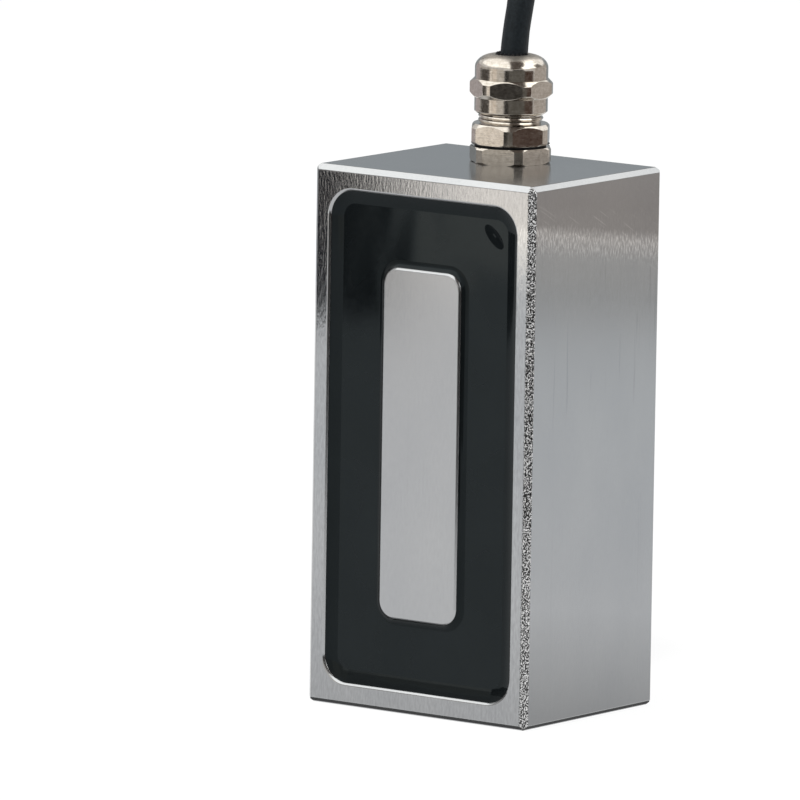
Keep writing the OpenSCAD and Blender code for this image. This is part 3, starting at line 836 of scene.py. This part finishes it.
def makeDomeNut(setup):
    inner, collar, cone = setup["thread"] + setup["room"], setup["collar"], setup["collarCone"]
    mouth, mouthLow = setup["mouth"], domeHigh.z - setup["mouthDeep"]
    hexLow = domeLow.z + setup["skirtHigh"]
    hexHigh = hexLow + setup["hexHigh"]
    crownLow = hexHigh + setup["collarHigh"]
    profile = [(inner, domeLow.z), (collar - cone, domeLow.z), (collar, domeLow.z + cone), (collar, crownLow)]
    for k in range(1, setup["crownSteps"] + 1):
        a = math.radians(90 * k / setup["crownSteps"])
        profile.append((mouth + (collar - mouth) * math.cos(a) + setup["mouthRound"] * math.sin(a),
                        crownLow + setup["crown"] * math.sin(a)))
    profile += [(mouth, domeHigh.z - setup["mouthRound"]), (mouth, mouthLow), (setup["throat"][0], mouthLow),
                (setup["throat"][1], bodyHigh.z), (inner, bodyHigh.z)]
    shell = lathe("shell", profile)
    hexagon = turnedHexagon("hexagon", setup, hexLow, hexHigh, setup["domeTurn"], setup["chamfer"],
                            setup["chamfer"], collar - setup["domeSink"])
    mesh = joinMeshes("domeNut", [shell, hexagon])
    worn = mesh.attributes.new("worn", "FLOAT", "FACE")  # the crown is dull round the mouth
    for face in mesh.polygons:
        if face.center.z > crownLow:
            tilt = max(0.0, face.normal.z - setup["wornTilt"])
            worn.data[face.index].value = min(1.0, tilt / setup["wornFade"])
    newPiece("domeNut", mesh, nickel, "nickel", "dome_nut", smooth=setup["smooth"], edge=setup["edgeRound"])


for makePart in (makeLockNut, makeWasher, makeGlandBody, makeDomeNut):
    makePart(glandSet)

gripSet = {"inner": 2.5 * mm, "nose": 3.0 * mm, "noseHigh": 1.75 * mm, "noseStep": 0.2 * mm, "lipLow": 0.5 * mm,
           "lipTop": 0.3 * mm, "lipWide": 0.1 * mm, "teeth": 22, "toothRadius": 0.34 * mm,
           "toothHigh": 1.2 * mm, "toothProud": 0.05 * mm, "pegSides": 10, "pegTip": 0.55, "smooth": 50}


def ringTree(setup):
    # geometry nodes: round pegs set in a circle
    tree, sockets, given = newTree("pegRing", {"Radius": 0.003, "Peg Radius": 0.0003, "Peg Height": 0.001,
                                               "Count": 20})
    circle = makeNode(tree, "GeometryNodeMeshCircle")
    peg = makeNode(tree, "GeometryNodeMeshCone", {"Vertices": setup["pegSides"], "Side Segments": 2})
    tip = makeNode(tree, "ShaderNodeMath", {1: setup["pegTip"]}, operation="MULTIPLY")
    place = makeNode(tree, "GeometryNodeInstanceOnPoints")
    joinAll(tree, (given["Count"], circle.inputs["Vertices"]), (given["Radius"], circle.inputs["Radius"]),
            (given["Peg Radius"], peg.inputs["Radius Bottom"]), (given["Peg Radius"], tip.inputs[0]),
            (tip.outputs[0], peg.inputs["Radius Top"]), (given["Peg Height"], peg.inputs["Depth"]),
            (circle.outputs["Mesh"], place.inputs["Points"]), (peg.outputs["Mesh"], place.inputs["Instance"]))
    endTree(tree, given, place.outputs["Instances"])
    return tree, sockets


def makeGrommet(setup):
    inner, outer, top = setup["inner"], (gripHigh.x - gripLow.x) / 2, gripHigh.z
    nose, shoulder = setup["nose"] - setup["noseStep"], top - setup["noseHigh"]
    sleeve = lathe("sleeve", [(inner, gripLow.z), (outer, gripLow.z), (outer, shoulder), (nose, shoulder),
                              (nose, top - setup["lipLow"]), (inner + setup["lipWide"], top - setup["lipTop"]),
                              (inner, top - setup["lipTop"])])
    teeth = grow("teeth", *ringTree(setup), {
        "Radius": setup["nose"] - setup["toothRadius"] + setup["toothProud"], "Count": setup["teeth"],
        "Peg Radius": setup["toothRadius"], "Peg Height": setup["toothHigh"], "Finish": rubber})
    teeth.transform(Matrix.Translation((*glandAt, top - setup["toothHigh"])))
    mesh = joinMeshes("gripRubber", [sleeve, teeth])
    newPiece("gripRubber", mesh, rubber, "rubber", "sealing_grommet", smooth=setup["smooth"])


makeGrommet(gripSet)
print("gland done")


# cable: the route of the solids in metres, then the turns of the coil

cableSet = {"diameter": 0.005, "length": 1.01, "coilAt": (-0.039, 0.0515), "coilTop": 0.0121,
            "innerTurn": 0.0225, "outerTurn": 0.0275, "floorGap": 0.0006, "pitch": 0.0051, "outerPitch": 0.005,
            "stepsPerTurn": 24, "crossSteps": 6, "outerTurns": 2, "mostTurned": 800, "endBearing": 118,
            "throat": (0.0956, 0.1091, 0.1205)}
gripTop = Vector((*glandAt, gripHigh.z))
coilLie = Vector((*cableSet["coilAt"], cableSet["coilTop"] + cableSet["diameter"] / 2))
arch = [(0.001, 0.0015, 0.010), (0, 0.005, 0.020), (-0.004, 0.0105, 0.030), (-0.010, 0.0185, 0.038),
        (-0.017, 0.0285, 0.0425), (-0.0255, 0.039, 0.0425), (-0.033, 0.0495, 0.038), (-0.0395, 0.0575, 0.029),
        (-0.0435, 0.063, 0.0175), (-0.045, 0.0645, 0.004), (-0.0465, 0.064, -0.0065)]
landing = [(-0.008, 0.0195, 0.0875), (-0.008, 0.0195, 0.0755), (-0.008, 0.0195, 0.0635),
           (-0.008, 0.0195, 0.0515), (-0.008, 0.0195, 0.040), (-0.010, 0.019, 0.027),
           (-0.015, 0.016, 0.0155), (-0.0215, 0.008, 0.007), (-0.0235, -0.003, 0.0025),
           (-0.0195, -0.013, 0.0005), (-0.010, -0.0205, 0), (0.002, -0.0225, 0)]


def coilTurns(setup):
    # down the inner turns, across the bottom, and up the outer ones
    bearing = math.degrees(math.atan2(landing[-1][1], landing[-1][0]))
    step = 360 / setup["stepsPerTurn"]
    bottom = setup["floorGap"] + setup["diameter"] / 2
    z = coilLie.z
    points = []

    def turnPoint(radius):
        a = math.radians(bearing)
        return (setup["coilAt"][0] + radius * math.cos(a), setup["coilAt"][1] + radius * math.sin(a), z)

    while z > bottom:
        bearing += step
        z = max(z - setup["pitch"] * step / 360, bottom)
        points.append(turnPoint(setup["innerTurn"]))
    for k in range(setup["crossSteps"]):
        bearing += step
        share = 0.5 - 0.5 * math.cos(math.pi * (k + 1) / setup["crossSteps"])
        points.append(turnPoint(setup["innerTurn"] + share * (setup["outerTurn"] - setup["innerTurn"])))
    last = bearing + 360 * setup["outerTurns"] + (setup["endBearing"] - bearing) % 360
    last -= 360 if last - bearing > setup["mostTurned"] else 0
    while bearing < last:
        part = min(step, last - bearing)
        bearing += part
        z += setup["outerPitch"] * part / 360
        points.append(turnPoint(setup["outerTurn"]))
    return points


def makeCable(setup):
    points = [(*glandAt, z) for z in setup["throat"]] + [tuple(gripTop + Vector(p)) for p in arch]
    points += [tuple(coilLie + Vector(p)) for p in landing] + coilTurns(setup)
    data = bpy.data.curves.new("cable", "CURVE")
    data.dimensions = "3D"
    data.bevel_depth = setup["diameter"] / 2
    data.bevel_resolution = 5
    data.use_fill_caps = True
    spline = data.splines.new("NURBS")
    spline.points.add(len(points) - 1)
    for place, point in zip(spline.points, points):
        place.co = (*point, 1)
    spline.order_u = 4
    spline.use_endpoint_u = True
    spline.resolution_u = 5
    data.materials.append(sheath)
    cable = addObject("blackCable", data)
    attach(cable, "root")
    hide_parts("cable", "cable_coil")
    return cable


cable = makeCable(cableSet)

coreSet = {"radius": 0.9 * mm, "sides": 16, "spread": 1.08 * mm, "from": 118, "turn": 72, "steps": 18,
           "lift": 0.9 * mm, "edgeRound": 0.12 * mm, "sharp": 40, "tipRadius": 0.6 * mm, "tipLong": 6 * mm,
           "tipAround": 48, "tipAlong": 24, "tipEnd": 0.82, "lookBack": 4, "lobes": 6, "lobeDeep": 0.2,
           "twist": 300, "tipSmooth": 60}


def corePoint(setup, side, bearing):
    a = math.radians(bearing)
    radius = cableSet["outerTurn"] + side * setup["spread"]
    middle = cableSet["coilAt"]
    return Vector((middle[0] + radius * math.cos(a), middle[1] + radius * math.sin(a),
                   cableSet["coilTop"] + setup["lift"]))


def sweptTube(name, points, radius, sides):
    # a round tube through points, closed at both ends
    form = bmesh.new()
    rings = []
    side = Vector((0, 0, 1))
    for i, point in enumerate(points):
        ahead = (points[min(i + 1, len(points) - 1)] - points[max(i - 1, 0)]).normalized()
        side = (side - side.dot(ahead) * ahead).normalized()
        other = ahead.cross(side)
        angles = [2 * math.pi * k / sides for k in range(sides)]
        rings.append([form.verts.new(point + radius * (math.cos(a) * side + math.sin(a) * other))
                      for a in angles])
    loft(form, rings, closed=False)
    return meshFrom(form, name)


def makeCores(setup):
    pieces = []
    for name, side, finish, slot, node in (("brownLead", 1, "brownCore", "brown_core", "lead_brown"),
                                           ("blueLead", -1, "blueCore", "blue_core", "lead_blue")):
        points = [corePoint(setup, side, setup["from"] + setup["turn"] * k / setup["steps"])
                  for k in range(setup["steps"] + 1)]
        mesh = sweptTube(name, points, setup["radius"], setup["sides"])
        pieces.append(newPiece(name, mesh, finishes[finish], slot, node, smooth=setup["sharp"],
                               edge=setup["edgeRound"], sharp=setup["sharp"]))
    return pieces


def twistedTip(setup, side):
    # tinned strands laid together, as a lobed section that turns along the wire
    last = setup["from"] + setup["turn"]
    start, before = corePoint(setup, side, last), corePoint(setup, side, last - setup["lookBack"])
    ahead = (start - before).normalized()
    up = Vector((0, 0, 1))
    across = ahead.cross(up)
    form = bmesh.new()
    rings = []
    for i in range(setup["tipAlong"] + 1):
        share = i / setup["tipAlong"]
        ring = []
        for k in range(setup["tipAround"]):
            a = 2 * math.pi * k / setup["tipAround"]
            lobe = abs(math.cos(setup["lobes"] * (a - math.radians(setup["twist"]) * share) / 2))
            radius = setup["tipRadius"] * (1 - setup["lobeDeep"] + setup["lobeDeep"] * lobe)
            radius *= setup["tipEnd"] if i == setup["tipAlong"] else 1.0
            ring.append(form.verts.new(start + ahead * setup["tipLong"] * share
                                       + radius * (math.cos(a) * across + math.sin(a) * up)))
        rings.append(ring)
    loft(form, rings, closed=False)
    return meshFrom(form, "tip")


def makeTips(setup):
    mesh = joinMeshes("tinnedTips", [twistedTip(setup, side) for side in (-1, 1)])
    return newPiece("tinnedTips", mesh, tin, "tin", "tinned_tips", smooth=setup["tipSmooth"])


tieSet = {"bearing": 45, "width": 4 * mm, "thick": 0.6 * mm, "inner": 19.9 * mm, "outer": 30.1 * mm,
          "low": 0.6 * mm, "high": 15.5 * mm, "corner": 2.2 * mm, "cornerSteps": 6,
          "headLong": 5.5 * mm, "headWide": 5.6 * mm,
          "headHigh": 3.2 * mm, "edgeRound": 0.18 * mm, "sharp": 40}


def makeTie(setup):
    # a strap round the bundle, with its locking head on top
    form = bmesh.new()
    corner, steps = setup["corner"], setup["cornerSteps"]
    left, right = setup["inner"] + corner, setup["outer"] - corner
    low, high = setup["low"] + corner, setup["high"] - corner
    loops = []
    for wider, side in ((0, -1), (setup["thick"], -1), (setup["thick"], 1), (0, 1)):
        loop = []
        for x, z, first in ((right, high, 0), (left, high, 90), (left, low, 180), (right, low, 270)):
            for k in range(steps + 1):
                a = math.radians(first + 90 * k / steps)
                loop.append(form.verts.new((x + (corner + wider) * math.cos(a), side * setup["width"] / 2,
                                            z + (corner + wider) * math.sin(a))))
        loops.append(loop)
    loft(form, loops, closed=True)
    middle = (setup["inner"] + setup["outer"]) / 2
    for vert in bmesh.ops.create_cube(form, size=1.0)["verts"]:
        vert.co = Vector((middle + vert.co.x * setup["headLong"], vert.co.y * setup["headWide"],
                          setup["high"] + setup["headHigh"] / 2 + vert.co.z * setup["headHigh"]))
    mesh = meshFrom(form, "coilTie")
    turn = Matrix.Rotation(math.radians(setup["bearing"]), 4, "Z")
    mesh.transform(Matrix.Translation((*cableSet["coilAt"], 0)) @ turn)
    return newPiece("coilTie", mesh, finishes["tieNylon"], "cable", "coil_tie", edge=setup["edgeRound"],
                    sharp=setup["sharp"])


cordPieces = makeCores(coreSet) + [makeTips(coreSet), makeTie(tieSet)]
print("cable done")


# threads in the two mounting holes

holeSet = {"radius": 3.4 * mm, "sink": 0.05 * mm, "inset": 0.9 * mm, "pitch": 1.25 * mm, "depth": 0.3 * mm,
           "turns": 9, "spacing": 50 * mm}


def makeHoleThreads(setup):
    low, high = (Vector(v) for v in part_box("housing"))
    ridges = []
    for side in (-1, 1):
        ridge = screwRidge(setup["radius"] + setup["sink"], setup["pitch"], setup["turns"], setup["depth"],
                           steel)
        place = Vector((0, high.y - setup["inset"], (low.z + high.z) / 2 + side * setup["spacing"] / 2))
        ridge.transform(Matrix.Translation(place) @ Matrix.Rotation(math.radians(90), 4, "X"))
        ridges.append(ridge)
    mesh = joinMeshes("holeThreads", ridges)
    newPiece("holeThreads", mesh, steel, "steel")


makeHoleThreads(holeSet)
print("hole threads done")


# pieces sealed inside keep their solids and get their finish

innerSet = {"coil_bobbin": "ivoryNylon", "copper_winding": "woundCopper", "winding_wrap": "amberTape",
            "inner_lead_brown": "brownCore", "inner_lead_blue": "blueCore", "splice_sleeves": "shrinkSleeve",
            "clamping_claw": "darkNylon"}


def dressSolids(setup):
    for node, finish in setup.items():
        mesh = nodes[node].data
        mesh.materials.clear()
        mesh.materials.append(finishes[finish])


dressSolids(innerSet)
print("inner pieces dressed")

bpy.context.scene.view_settings.view_transform = "Standard"
